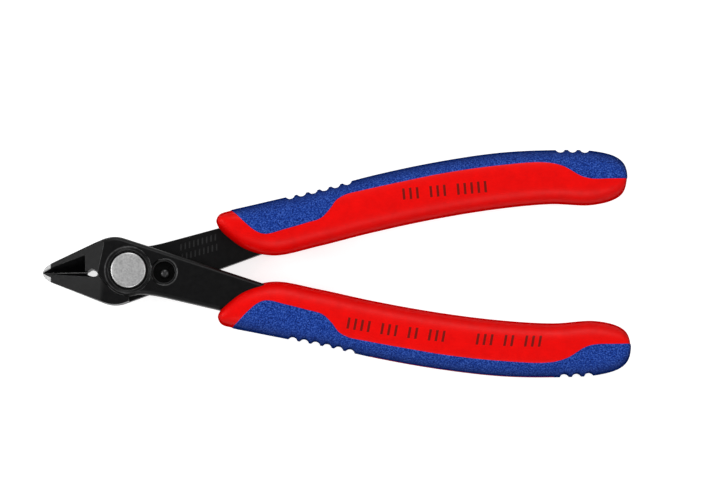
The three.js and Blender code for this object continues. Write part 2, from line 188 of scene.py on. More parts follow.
def turned_profile(name, profile, segments=96, centre=(0, 0)):
    """A body of revolution about an upright axis, from (radius, z) points, upwards on the outside."""
    points, rings = [], []
    for radius, z in profile:
        if radius < 1e-6:
            rings.append([len(points)])
            points.append((centre[0], centre[1], z))
            continue
        rings.append(list(range(len(points), len(points) + segments)))
        for i in range(segments):
            angle = 2 * math.pi * i / segments
            points.append((centre[0] + radius * math.cos(angle), centre[1] + radius * math.sin(angle), z))
    faces = []
    for low, high in zip(rings, rings[1:]):
        for i in range(segments):
            j = (i + 1) % segments
            if len(low) == 1:
                faces.append((low[0], high[j], high[i]))
            elif len(high) == 1:
                faces.append((low[i], low[j], high[0]))
            else:
                faces.append((low[i], low[j], high[j], high[i]))
    return piece_from(name, points, faces)


def disc(x, y, radius, bottom, top, top_radius=None):
    """A round cutter; top_radius makes it a cone."""
    profile = [(0, bottom), (radius, bottom), (top_radius or radius, top), (0, top)]
    return turned_profile("cutter", profile, centre=(x, y))


def block(low, high):
    (x0, y0, z0), (x1, y1, z1) = low, high
    return prism([(x0, y0), (x1, y0), (x1, y1), (x0, y1)], z0, z1)


def above(a, b, c):
    """Everything over the plane through three points."""
    a, b, c = Vector(a), Vector(b), Vector(c)
    normal = (b - a).cross(c - a).normalized()
    if normal.z < 0:
        normal.negate()
    cube = block((-FAR, -FAR, 0), (FAR, FAR, FAR))
    cube.data.transform(Matrix.Translation(a) @ normal.to_track_quat("Z", "Y").to_matrix().to_4x4())
    return cube


def bezier(*points, steps=20):
    """Points along a quadratic or cubic curve, without its first point."""
    points = [np.array(p, float) for p in points]
    curve = []
    for t in np.linspace(0, 1, steps + 1)[1:]:
        level = points
        while len(level) > 1:
            level = [(1 - t) * p + t * q for p, q in zip(level, level[1:])]
        curve.append(tuple(level[0]))
    return curve


def arc(centre, radius, start, end, steps=48):
    return [
        (centre[0] + radius * math.cos(a), centre[1] + radius * math.sin(a))
        for a in np.linspace(start, end, steps + 1)
    ]


def inset_outline(points, distance):
    """An anticlockwise outline moved inwards, its corners mitred."""
    p = np.array(points, float)
    along = np.roll(p, -1, 0) - p
    along /= np.linalg.norm(along, axis=1)[:, None]
    inward = np.stack([-along[:, 1], along[:, 0]], 1)
    before = np.roll(inward, 1, 0)
    bisector = inward + before
    bisector /= (1 + (inward * before).sum(1))[:, None]
    return p + bisector * distance


def rounded_slab(name, outline, bottom, top, bottom_round, top_round, steps=6):
    """A prism whose two rims are rounded over."""
    rings = []
    for k in range(steps + 1):
        a = math.pi / 2 * k / steps
        rings.append((bottom_round * (1 - math.sin(a)), bottom + bottom_round * (1 - math.cos(a))))
    for k in range(steps + 1):
        a = math.pi / 2 * k / steps
        rings.append((top_round * (1 - math.cos(a)), top - top_round + top_round * math.sin(a)))
    count = len(outline)
    points = [(x, y, z) for inset, z in rings for x, y in inset_outline(outline, inset)]
    faces = []
    for r in range(len(rings) - 1):
        for i in range(count):
            j = (i + 1) % count
            faces.append((r * count + i, r * count + j, (r + 1) * count + j, (r + 1) * count + i))
    faces.append(tuple(reversed(range(count))))
    faces.append(tuple(range((len(rings) - 1) * count, len(rings) * count)))
    return piece_from(name, points, faces)


# ---- Steel halves ----

def half_outline():
    """Head, arm and tang of the front half, anticlockwise, with its nose left square."""
    outline = [(-TIP - NOSE_BLANK, -2), (-TIP - NOSE_BLANK, 2), NOSE_START, (-5.6, 6.62)]
    outline += bezier((-5.6, 6.62), (-3.1, 7.65), (-0.8, 6.86))
    outline += [(33, -4.8)]
    outline += bezier((33, -4.8), (50, -10.7), (68, -14.2), (84, -15.7))
    outline += bezier((84, -15.7), (89.5, -16.2), (89.5, -20.4), (84, -20.6))
    outline += bezier((84, -20.6), (66, -19.9), (50, -16.5), (33, -12.3))
    outline += [(8.5, -6.12)]
    outline += bezier((8.5, -6.12), (6.5, -5.62), (3.2, -4.9), BOSS_END)
    outline += [(-0.8, -6.86)]
    outline += bezier((-0.8, -6.86), (-3.1, -7.65), (-5.6, -6.62))
    outline += [(NOSE_START[0], -NOSE_START[1])]
    return outline[::-1]


def nose_outline():
    """Everything inside the rounded nose."""
    tip, (x, y) = (-TIP, 0), NOSE_START
    outline = [tip] + bezier(tip, (-18.5, -1.3), (x, -y))
    outline += [(x, -FAR), (FAR, -FAR), (FAR, FAR), (x, FAR), (x, y)]
    outline += bezier((x, y), (-18.5, 1.3), tip)[:-1]
    return outline


def room_below(clearance, end_angle):
    """Room for the other jaw: everything below the cutting edge and outside the boss's rim."""
    slope = math.atan2(BOSS_SHOULDER[1] - THROAT[1], BOSS_SHOULDER[0] - THROAT[0])
    dx, dy = clearance * math.sin(slope), -clearance * math.cos(slope)
    radius = BOSS_RADIUS + clearance
    start = math.atan2(BOSS_SHOULDER[1], BOSS_SHOULDER[0])
    outline = [(-FAR, BLADE_EDGE), (-FAR, -FAR), (radius * math.cos(end_angle), -FAR)]
    outline += arc((0, 0), radius, start, end_angle)[::-1]
    outline += [(THROAT[0] + dx, THROAT[1] + dy), (THROAT[0] + dx, BLADE_EDGE)]
    return outline


def half_blank(name):
    """The front half before grinding: jaw as thick as the head, boss and arm in front of the lap plane."""
    rounded = rounded_slab(name, half_outline(), -FACE_Z, FACE_Z, BACK_ROUND, FRONT_ROUND)
    keep(rounded, prism(nose_outline(), -FAR, FAR))
    jaw_behind = copy_of(rounded)
    keep(jaw_behind, block((-FAR, BLADE_EDGE, -FAR), (0, FAR, LAP_Z)))
    other_boss = prism(room_below(LAP_CLEARANCE, OTHER_BOSS_END), -FAR, FAR)
    other_boss.data.transform(TURNED_OVER)
    keep(jaw_behind, other_boss)
    cut(rounded, block((-FAR, -FAR, -FAR), (FAR, FAR, LAP_Z)))
    cut(rounded, prism(room_below(0, math.atan2(BOSS_END[1], BOSS_END[0])), -FAR, FAR))
    return join(rounded, jaw_behind)


def joint_cuts(half):
    """Bore, rivet seat and spring pocket, which both halves have."""
    cut(half, disc(0, 0, SHANK_RADIUS + SHANK_CLEARANCE, -FAR, FAR))
    cut(half, disc(0, 0, SEAT_RADIUS, FACE_Z - SEAT_DEPTH, FAR))
    cut(half, disc(0, 0, SEAT_RADIUS, FACE_Z - SEAT_RIM_DEPTH, FACE_Z + OVERCUT, SEAT_RIM_RADIUS))
    cut(half, disc(0, 0, SPRING_POCKET_RADIUS, -LAP_Z, LAP_Z + SPRING_POCKET_DEPTH))
    start, end = Vector((0, -SPRING_RADIUS)), Vector(SPRING_LEG_END)
    along = (end - start).normalized()
    side = Vector((-along.y, along.x)) * SPRING_GROOVE / 2
    end += SPRING_END_ROOM * along
    corners = [start - side, end - side, end + side, start + side]
    return cut(half, prism([tuple(c) for c in corners], -LAP_Z, LAP_Z + SPRING_POCKET_DEPTH))


def throat_notch():
    """The gap behind the cutting edges."""
    outline = [
        (-9, -0.35), (-8.6, -0.72), (-8.1, -1.02), (-7.5, -1.2), (-7, -1.12), (-6.6, -0.8),
        (-6.6, -0.3), (-6.85, 0), (-7.15, 0.25), (-7.5, 0.43), (-7.8, 0.47), (-8.2, 0.3), (-8.65, 0),
    ]
    return prism(outline, -FAR, FAR)


def taper_grind(side):
    """What the grind of a jaw takes off, from the ridge across the head down to the tip."""
    return above((RIDGE_X, 0, FACE_Z), (RIDGE_X + 5 * RIDGE_LEAN, 5 * side, FACE_Z), (-TIP, 0, TIP_Z))


def upper_bevel():
    """The hollow above the cutting edge: a steep wall, and a floor that falls towards the edge."""
    hollow = block((-FAR, -FAR, -FAR), (BEVEL_END, FAR, FAR))
    keep(hollow, above((-16.6, 1.15, -1.62), (BEVEL_END, 3.48, 1.73), (BEVEL_END, 1.05, -2.2)))
    return keep(hollow, above((-16.6, 0, -2.7), (BEVEL_END, 1, -2.25), (BEVEL_END, 0, -3)))


def lower_bevel():
    """The lower jaw's bevel, narrow and steep, back to the throat."""
    hollow = block((-FAR, -FAR, -FAR), (THROAT[0], FAR, FAR))
    return keep(hollow, above((-17.5, 0, -2.95), (BEVEL_END, 0, -3.25), (BEVEL_END, -1.15, 2)))


def folded_faces(mesh, excess=1.02, least=0.002):
    """Corner points of the faces whose triangles cover more than the face does."""
    mesh.calc_loop_triangles()
    spots = np.array([v.co[:] for v in mesh.vertices])
    covered = np.zeros(len(mesh.polygons))
    for triangle in mesh.loop_triangles:
        a, b, c = spots[list(triangle.vertices)]
        covered[triangle.polygon_index] += np.linalg.norm(np.cross(b - a, c - a)) / 2
    folded = []
    for face in mesh.polygons:
        corners = spots[list(face.vertices)]
        area = np.linalg.norm(np.cross(corners, np.roll(corners, -1, 0)).sum(0)) / 2
        if covered[face.index] > excess * area + least:
            folded.append(corners)
    return folded


def sharp_edges(half, same_point=0.012, same_plane=0.4, sharp=22):
    """Merges the half's close points and flat faces, and gives its sharp edges' indices and ends."""
    bm = bmesh.new()
    bm.from_mesh(half.data)
    bmesh.ops.remove_doubles(bm, verts=bm.verts, dist=same_point)
    bmesh.ops.dissolve_limit(bm, angle_limit=math.radians(same_plane), verts=bm.verts, edges=bm.edges)
    bm.edges.index_update()
    edges = [e for e in bm.edges if len(e.link_faces) == 2 and e.calc_face_angle() > math.radians(sharp)]
    indices = [e.index for e in edges]
    ends = np.array([[v.co[:] for v in e.verts] for e in edges])
    bm.to_mesh(half.data)
    bm.free()
    return indices, ends


def bevelled(half, plain, indices, weights):
    """Bevels the plain mesh's edges by their weights; the new faces take the second material."""
    half.data = plain.copy()
    layer = half.data.attributes.new("bevel_weight_edge", "FLOAT", "EDGE")
    for index, weight in zip(indices, weights):
        layer.data[index].value = weight
    bevel = half.modifiers.new("edges", "BEVEL")
    bevel.width = EDGE_WIDTH
    bevel.segments = 3
    bevel.limit_method = "WEIGHT"
    bevel.use_clamp_overlap = False
    bevel.miter_outer = "MITER_ARC"
    # The bevel faces take the lighter edge steel: partly wear, partly a painted highlight.
    bevel.material = 1
    return settle(half)


def soften(half, rounds=6, reach=1.3 * EDGE_WIDTH, least_weight=0.12):
    """Breaks the sharp edges, as on a tumbled and burnished forging.

    Where there's no room for the full width, a face comes out folded. The edges within reach of such a face
    are then broken half as wide, in a few rounds.
    """
    for _ in range(2):
        half.data.materials.append(None)
    indices, ends = sharp_edges(half)
    along = ends[:, 1] - ends[:, 0]
    plain, weights = half.data.copy(), np.ones(len(indices))
    for _ in range(rounds):
        bevelled(half, plain, indices, weights)
        folded = folded_faces(half.data)
        if not folded:
            break
        close = np.zeros(len(indices), bool)
        for corner in np.concatenate(folded):
            share = ((corner - ends[:, 0]) * along).sum(1) / (along**2).sum(1)
            nearest = ends[:, 0] + along * np.clip(share, 0, 1)[:, None]
            close |= np.linalg.norm(corner - nearest, axis=1) < reach
        weights[close] *= 0.5
        weights[weights < least_weight] = 0
    return half


def front_half():
    half = joint_cuts(half_blank("front_half_forging"))
    cut(half, throat_notch())
    cut(half, taper_grind(1))
    cut(half, upper_bevel())
    cut(half, disc(*STOP_HOLE, STOP_HOLE_RADIUS, -FAR, FAR))
    rim = disc(*STOP_HOLE, STOP_HOLE_RADIUS, FACE_Z - STOP_RIM_DEPTH, FACE_Z + OVERCUT, STOP_RIM_RADIUS)
    cut(half, rim)
    return soften(half)


def arm_hatch():
    """Two rows of short engraved strokes on the rear arm's front face."""
    along = Vector((1, 0))
    along.rotate(Matrix.Rotation(HATCH_TILT, 2))
    across = Vector((-along.y, along.x))
    stroke, slant = along * 0.16, across * 0.68 + along * 0.2
    corners = (-stroke - slant, stroke - slant, stroke + slant, -stroke + slant)
    points, faces = [], []
    for row in (-1, 1):
        for k in range(HATCH_COUNT):
            step = k - (HATCH_COUNT - 1) / 2 + 0.15 * row
            centre = Vector(HATCH_CENTRE) + along * step * HATCH_PITCH + across * row * HATCH_ROW
            base = len(points)
            points += [(*(centre + corner), z) for z in (-LAP_Z - HATCH_DEPTH, 1) for corner in corners]
            faces += [(base + 3, base + 2, base + 1, base), (base + 4, base + 5, base + 6, base + 7)]
            faces += [(base + i, base + (i + 1) % 4, base + 4 + (i + 1) % 4, base + 4 + i) for i in range(4)]
    return piece_from("cutter", points, faces)


def rear_half():
    half = joint_cuts(half_blank("rear_half_forging"))
    half.data.transform(TURNED_OVER)
    cut(half, throat_notch())
    cut(half, taper_grind(-1))
    shoulder_grind = above((-6, -2.4, FACE_Z), (0.6, -5.7, FACE_Z), (-3, -7.2, FACE_Z - 0.55))
    cut(half, shoulder_grind)
    cut(half, lower_bevel())
    cut(half, disc(*STOP_PIN, STOP_PIN_RADIUS - 0.02, -FAR, FAR))
    return cut(soften(half), arm_hatch())


# ---- Joint ----

def pivot_rivet():
    seat, top, end = FACE_Z - SEAT_DEPTH + RIVET_GAP, FACE_Z + RIVET_PROUD, -FACE_Z - 0.05
    profile = [(0, end), (1.5, end), (1.7, -FACE_Z), (RIVET_END_RADIUS, -FACE_Z + 0.2)]
    profile += [(RIVET_END_RADIUS, -seat), (SHANK_RADIUS, -seat), (SHANK_RADIUS, seat)]
    rim = [(0.06, seat), (0, seat + 0.06), (0, top - 0.24), (0.05, top - 0.1), (0.16, top - 0.03)]
    rim += [(0.3, top), (1.2, top), (2.4, top)]
    profile += [(RIVET_RADIUS - inset, z) for inset, z in rim]
    return turned_profile("rivet", profile + [(0, top)])


def rivet_collar():
    seat = -(FACE_Z - SEAT_DEPTH + RIVET_GAP) - RIVET_GAP
    inner = RIVET_END_RADIUS + RIVET_GAP
    profile = [(inner, seat), (inner, -FACE_Z + 0.12), (inner + 0.12, -FACE_Z)]
    profile += [(RIVET_RADIUS - 0.22, -FACE_Z), (RIVET_RADIUS - 0.06, -FACE_Z + 0.07)]
    profile += [(RIVET_RADIUS, -FACE_Z + 0.22), (RIVET_RADIUS, seat), (inner, seat)]
    return turned_profile("collar_at_the_back", profile)


def stop_pin():
    bottom, chamfer, dome = -FACE_Z + 0.1, 0.1, 0.5
    profile = [(0, bottom), (STOP_PIN_RADIUS - chamfer, bottom), (STOP_PIN_RADIUS, bottom + chamfer)]
    for angle in np.linspace(0, 1.35, 9):
        profile.append((STOP_PIN_RADIUS * math.cos(angle), STOP_PIN_TOP - dome + dome * math.sin(angle)))
    profile += [(0, STOP_PIN_TOP)]
    return turned_profile("pin_in_the_stop_hole", profile, 48, STOP_PIN)


def opening_spring(sides=14):
    """Wire round a helix, with a straight leg in each half."""
    leg = Vector((SPRING_LEG_END[0], SPRING_LEG_END[1] + SPRING_RADIUS))
    path = [(leg.x * t, SPRING_RADIUS - leg.y * t, -SPRING_LEG_Z) for t in np.linspace(1, 0, 8)]
    for share in np.linspace(0, 1, 91)[1:-1]:
        angle = math.pi / 2 + share * SPRING_TURNS * 2 * math.pi
        height = -SPRING_LEG_Z + 2 * SPRING_LEG_Z * share
        path.append((SPRING_RADIUS * math.cos(angle), SPRING_RADIUS * math.sin(angle), height))
    path += [(leg.x * t, -SPRING_RADIUS + leg.y * t, SPRING_LEG_Z) for t in np.linspace(0, 1, 8)]
    path = [Vector(p) for p in path]
    points, faces = [], []
    for i, p in enumerate(path):
        along = (path[min(i + 1, len(path) - 1)] - path[max(i - 1, 0)]).normalized()
        across = along.cross(Vector((0, 0, 1))).normalized()
        up = across.cross(along)
        for k in range(sides):
            angle = 2 * math.pi * k / sides
            offset = across * math.cos(angle) + up * math.sin(angle)
            points.append(p + offset * SPRING_WIRE / 2)
    for i in range(len(path) - 1):
        for k in range(sides):
            m = (k + 1) % sides
            faces.append((i * sides + k, i * sides + m, (i + 1) * sides + m, (i + 1) * sides + k))
    faces.append(tuple(reversed(range(sides))))
    faces.append(tuple(range((len(path) - 1) * sides, len(path) * sides)))
    return face_outwards(piece_from("torsion_spring_wire", points, faces))


# ---- Grips ----
# Both pieces are made for the upper arm. The lower grip is the same pair turned over.

GRIP_NOSE = (18.75, 10.3)
GRIP_END = (106.55, 18.0)
GRIP_OUTER = [
    (19.5, 11.75), (22, 12.6), (26.5, 13.6), (33, 15), (42, 16.95), (53, 19.65), (66, 22.15), (79, 23.85),
    (90, 24.25), (99.5, 23.9), (104.2, 22.6), (106, 20.9),
]
GRIP_INNER = [
    (19.25, 8.9), (21.4, 6.65), (25.2, 4.05), (31, 2.7), (40.5, 4.5), (51.5, 7.1), (64.5, 9.7), (78, 11.7),
    (90, 12.65), (99, 12.3), (104, 13.5), (105.9, 15.1),
]
OVERLAY_EDGE = [
    (20.6, 13.6), (23, 11.54), (25.05, 9.42), (27.3, 7.6), (29.3, 6.95), (33.4, 7.9), (38, 9.15),
    (41.2, 10.15), (43.2, 12.1), (44.6, 14), (46.6, 15.15), (50, 15.95), (58.2, 17.6), (68, 19.4),
    (79.5, 20.8), (89, 21.25), (92.8, 20.35), (96.6, 18.15), (98.8, 17.55), (103, 17.5), (109, 17.5),
]
SECTION_POWER = 0.8  # 1 gives oval sections, less gives squarer ones
FULL_HALF_WIDTH, END_POWER = 4.5, 2.4
GROOVES = [34.7 + 2.43 * k for k in range(6)] + [92.4 + 2.6 * k for k in range(3)]
GROOVE_RADIUS, GROOVE_OFFSET, GROOVE_REACH, GROOVE_EASING = 1.0, 0.25, 0.9, 0.07
RIB_HALF, RIB_START, RIB_END = 1.0, 51.0, 90.0
LIP, SLOT_LIP = 0.32, 0.2  # rounding of the overlay's edge, and of its slot for the rib
CORE_STEP = 0.1  # how far the core lies below the overlay's face
CORE_SINK, SINK_FROM, SINK_OVER = 0.8, 0.8, 0.5  # further down under the overlay, away from its edge
OVERLAY_DEPTH = 0.75


def spline(points, closed, steps=200):
    """Centripetal Catmull-Rom curve through the points."""
    p = np.array(points, float)
    spans = len(p) if closed else len(p) - 1
    before, after = (p[-1:], p[:2]) if closed else (2 * p[:1] - p[1:2], 2 * p[-1:] - p[-2:-1])
    p = np.concatenate([before, p, after])
    t = np.linspace(0, 1, steps, endpoint=False)[:, None]
    curve = []
    for i in range(spans):
        p0, p1, p2, p3 = p[i : i + 4]
        d0, d1, d2 = (math.sqrt(np.linalg.norm(b - a)) for a, b in ((p0, p1), (p1, p2), (p2, p3)))
        m1 = ((p1 - p0) / d0 - (p2 - p0) / (d0 + d1) + (p2 - p1) / d1) * d1
        m2 = ((p2 - p1) / d1 - (p3 - p1) / (d1 + d2) + (p3 - p2) / d2) * d1
        curve.append(p1 + m1 * t + (3 * (p2 - p1) - 2 * m1 - m2) * t**2 + (2 * (p1 - p2) + m1 + m2) * t**3)
    if not closed:
        curve.append(p[-2:-1])
    return np.concatenate(curve)


class GripShape:
    """The grip's surface, as upright sections.

    In each section, angle 0 is the grip's outer edge and half a turn its inner edge.
    """

    def __init__(self):
        loop = spline([GRIP_NOSE] + GRIP_OUTER + [GRIP_END] + GRIP_INNER[::-1], True)
        loop = np.roll(loop, -int(loop[:, 0].argmin()), 0)
        turn = int(loop[:, 0].argmax())
        self.outer = loop[: turn + 1]
        self.inner = np.concatenate([loop[turn:], loop[:1]])[::-1]
        self.x0, self.x1 = loop[:, 0].min(), loop[:, 0].max()
        self.edge = spline(OVERLAY_EDGE, False)

    def rail(self, curve, x):
        order = np.maximum.accumulate(curve[:, 0])
        return np.interp(x, order, curve[:, 1])

    def middle(self, x):
        out, inn = self.rail(self.outer, x), self.rail(self.inner, x)
        return (out + inn) / 2, np.maximum((out - inn) / 2, 1e-4)

    def half_height(self, half):
        """Half the thickness, full where the grip is wide enough and less towards its ends."""
        share = np.minimum(half / FULL_HALF_WIDTH, 1)
        return GRIP_HALF * (1 - (1 - share) ** END_POWER) ** (1 / END_POWER)

    def point(self, x, angle):
        centre, half = self.middle(x)
        c, s = np.cos(angle), np.sin(angle)
        y = centre + half * np.sign(c) * np.abs(c) ** SECTION_POWER
        z = self.half_height(half) * np.sign(s) * np.abs(s) ** SECTION_POWER
        return np.stack([x + 0 * y, y, z], -1)

    def normal(self, x, angle):
        step = 2e-3
        low, high = np.maximum(x - step, self.x0 + 1e-5), np.minimum(x + step, self.x1 - 1e-5)
        along = self.point(high, angle) - self.point(low, angle)
        around = self.point(x, angle + step) - self.point(x, angle - step)
        n = np.cross(around, along)
        return n / np.maximum(np.linalg.norm(n, axis=-1), 1e-12)[..., None]

    def angles_at(self, x, arcs):
        """Angles of the points at these distances round the section from its outer edge."""
        fine = np.linspace(0, math.pi, 721)
        ring = self.point(np.full_like(fine, x), fine)
        length = np.concatenate([[0], np.linalg.norm(np.diff(ring, axis=0), axis=1).cumsum()])
        return np.sign(arcs) * np.interp(np.abs(arcs), length, fine), length[-1]

    def seam_arc(self, x):
        """Distance round the section to the overlay's edge, or 0 where there's no overlay."""
        centre, half = self.middle(x)
        edge = np.interp(x, self.edge[:, 0], self.edge[:, 1])
        share = float(np.clip((edge - centre) / half, -1, 1))
        angle = math.acos(math.copysign(abs(share) ** (1 / SECTION_POWER), share))
        fine = np.linspace(0, angle, 241)
        ring = self.point(np.full_like(fine, x), fine)
        return float(np.linalg.norm(np.diff(ring, axis=0), axis=1).sum())


def stations(shape, start, end):
    """Places along the grip: close together at its ends, at the grooves and where the overlay starts."""
    into_end = (0.0006, 0.01, 0.04, 0.09, 0.16, 0.25, 0.4, 0.6, 0.85, 1.2, 1.6, 2.1)
    places = list(np.arange(start, end, 0.9))
    for centre in GROOVES:
        places += list(np.arange(centre - 1.5, centre + 1.5, 0.11))
    places += [shape.x0 + d for d in into_end] + [shape.x1 - d for d in into_end]
    places += [start + d for d in (0, 0.02, 0.06, 0.12, 0.2, 0.3, 0.45, 0.65)] + [end, end - 0.0006]
    for edge in (RIB_START, RIB_END):
        places += [edge + d for d in (-0.3, -0.12, 0, 0.12, 0.3)]
    for low, high in ((22, 30), (40, 48), (90, 99)):
        places += list(np.arange(low, high, 0.35))
    kept = []
    for x in sorted(p for p in places if start <= p <= end):
        at_an_end = min(x - start, end - x) < 0.2
        if not kept or x - kept[-1] > (5e-4 if at_an_end else 0.045):
            kept.append(x)
    return kept


def pushed_from_grooves(shape, points):
    """Moves points out of the round grooves across the outer edge."""
    for x in GROOVES:
        at = shape.point(np.array([x]), np.array([0.0]))[0]
        out = shape.normal(np.array([x]), np.array([0.0]))[0]
        axis = at[:2] + GROOVE_OFFSET * out[:2]
        away = points[..., :2] - axis
        distance = np.linalg.norm(away, axis=-1)
        near = (distance < GROOVE_RADIUS + GROOVE_REACH) & (away @ out[:2] < 0.6)
        over = distance - GROOVE_RADIUS
        eased = GROOVE_RADIUS + (over + np.sqrt(over**2 + GROOVE_EASING**2)) / 2
        scale = np.where(near, eased / np.maximum(distance, 1e-6), 1)
        points[..., :2] = axis + away * scale[..., None]
    return points


def seam_tree(shape, start):
    """The overlay's edge on both flanks, for distances from it."""
    line = []
    end = overlay_end(shape)
    to_start = np.linspace(start, start + 1.5, 260)
    to_end = end - 1.5 * np.linspace(1, 0, 260) ** 3
    for x in np.concatenate([to_start, np.arange(start + 1.5, end - 1.5, 0.04), to_end]):
        angle, _ = shape.angles_at(x, np.array([shape.seam_arc(x)]))
        p = shape.point(np.array([x]), angle)[0]
        line += [p, p * (1, 1, -1)]
    tree = KDTree(len(line))
    for i, p in enumerate(line):
        tree.insert(p, i)
    tree.balance()
    return tree


def overlay_end(shape):
    """Where the overlay's edges on the two flanks meet, on the grip's end."""
    low, high = shape.x1 - 2, shape.x1 - 1e-6
    for _ in range(40):
        middle = (low + high) / 2
        _, half_ring = shape.angles_at(middle, np.array([0.0]))
        low, high = (low, middle) if shape.seam_arc(middle) > half_ring - 1e-4 else (middle, high)
    return low


def overlay_start(shape):
    low, high = GRIP_OUTER[0][0], GRIP_OUTER[2][0]
    for _ in range(40):
        middle = (low + high) / 2
        low, high = (low, middle) if shape.seam_arc(middle) > 0 else (middle, high)
    return high


def grip_overlay(shape, start, tree):
    """A closed shell: the outer face with a rounded lip along the seam, and the same face further in."""
    rows = stations(shape, start + 0.004, shape.x1 - 0.0006)
    lip_steps = [0, 0.03, 0.09, 0.18, 0.32, 0.6]
    points, inner, cells = [], [], []
    for x in rows:
        reach = shape.seam_arc(x)
        slot = min(RIB_HALF, 0.3 * reach)
        squeeze = min(1, 0.4 * (reach - slot) / lip_steps[-1])
        lips = [reach - squeeze * d for d in lip_steps]
        flank = list(np.linspace(lips[-1], slot + 0.3 * squeeze, 9)[1:])
        side = lips + flank + [slot + 0.12 * squeeze, slot + 0.03 * squeeze, slot]
        arcs = np.array(side + [slot / 2, 0, -slot / 2] + [-a for a in reversed(side)])
        angles, _ = shape.angles_at(x, arcs)
        xs = np.full_like(angles, x)
        surface = shape.point(xs, angles)
        normal = shape.normal(xs, angles)
        depth = np.array([max(0.0, LIP - tree.find(p)[2]) for p in surface])
        depth = LIP - np.sqrt(LIP**2 - depth**2)
        if RIB_START <= x <= RIB_END:
            near_slot = np.maximum(0, SLOT_LIP - np.maximum(np.abs(arcs) - slot, 0) / squeeze)
            slot_depth = SLOT_LIP - np.sqrt(SLOT_LIP**2 - np.minimum(near_slot, SLOT_LIP) ** 2)
            depth = np.maximum(depth, slot_depth)
        points.append(surface - normal * depth[:, None])
        inner.append(surface - normal * OVERLAY_DEPTH)
    columns = len(points[0])
    outer_grid = pushed_from_grooves(shape, np.array(points))
    inner_grid = pushed_from_grooves(shape, np.array(inner))
    first = columns // 2 - 2
    for i in range(len(rows) - 1):
        middle = (rows[i] + rows[i + 1]) / 2
        for j in range(columns - 1):
            if not (RIB_START < middle < RIB_END and first <= j < first + 4):
                cells.append((i, j))
    return shell("grip_overlay", outer_grid, inner_grid, cells)


def shell(name, outer, inner, cells):
    """A closed solid between two grids of points over the given cells, with its last row closed off."""
    rows, columns = outer.shape[:2]
    offset = rows * columns
    points = np.concatenate([outer.reshape(-1, 3), inner.reshape(-1, 3)])
    faces, edges = [], {}
    loops = [[(i, j), (i + 1, j), (i + 1, j + 1), (i, j + 1)] for i, j in cells]
    loops.append([(rows - 1, j) for j in reversed(range(columns))])
    for loop in loops:
        ids = [a * columns + b for a, b in loop]
        faces.append(tuple(ids))
        faces.append(tuple(offset + v for v in reversed(ids)))
        for a, b in zip(ids, ids[1:] + ids[:1]):
            if (b, a) in edges:
                del edges[(b, a)]
            else:
                edges[(a, b)] = True
    faces += [(b, a, offset + a, offset + b) for a, b in edges]
    used = sorted({v for f in faces for v in f})
    index = {v: k for k, v in enumerate(used)}
    return face_outwards(piece_from(name, points[used], [tuple(index[v] for v in f) for f in faces]))


def grip_core(shape, start, tree):
    """The whole grip a little below the overlay's face, sunk under the overlay except at the rib."""
    rows = stations(shape, shape.x0 + 0.0006, shape.x1 - 0.0006)
    points = []
    for x in rows:
        _, half_ring = shape.angles_at(x, np.array([0.0]))
        shrink = min(1, half_ring / 8)
        near = [0, 0.45 * shrink, 0.95 * shrink, 1.35 * shrink]
        arcs = near + list(np.linspace(near[-1], half_ring, 30)[1:])
        arcs = np.array(arcs + [-a for a in reversed(arcs[1:-1])])
        angles, _ = shape.angles_at(x, arcs)
        xs = np.full_like(angles, x)
        surface = shape.point(xs, angles)
        reach = shape.seam_arc(x) if x > start else 0.0
        gap = np.array([tree.find(p)[2] for p in surface])
        under = (np.abs(arcs) < reach) * np.clip((gap - SINK_FROM) / SINK_OVER, 0, 1)
        on_rib = (np.abs(arcs) < 1.1) & (RIB_START - 0.6 < x < RIB_END + 0.6)
        under = np.where(on_rib, 0, under)
        depth = CORE_STEP + CORE_SINK * under - np.where(on_rib, CORE_STEP - 0.04, 0)
        points.append(surface - shape.normal(xs, angles) * depth[:, None])
    columns = len(points[0])
    grid = np.concatenate(points)
    faces = []
    for i in range(len(rows) - 1):
        for j in range(columns):
            k = (j + 1) % columns
            faces.append((i * columns + j, i * columns + k, (i + 1) * columns + k, (i + 1) * columns + j))
    faces.append(tuple(range(columns)))
    faces.append(tuple(reversed(range((len(rows) - 1) * columns, len(rows) * columns))))
    return face_outwards(piece_from("grip_core", grid, faces))


# ---- Materials ----

def grey(value):
    return (value,) * 3


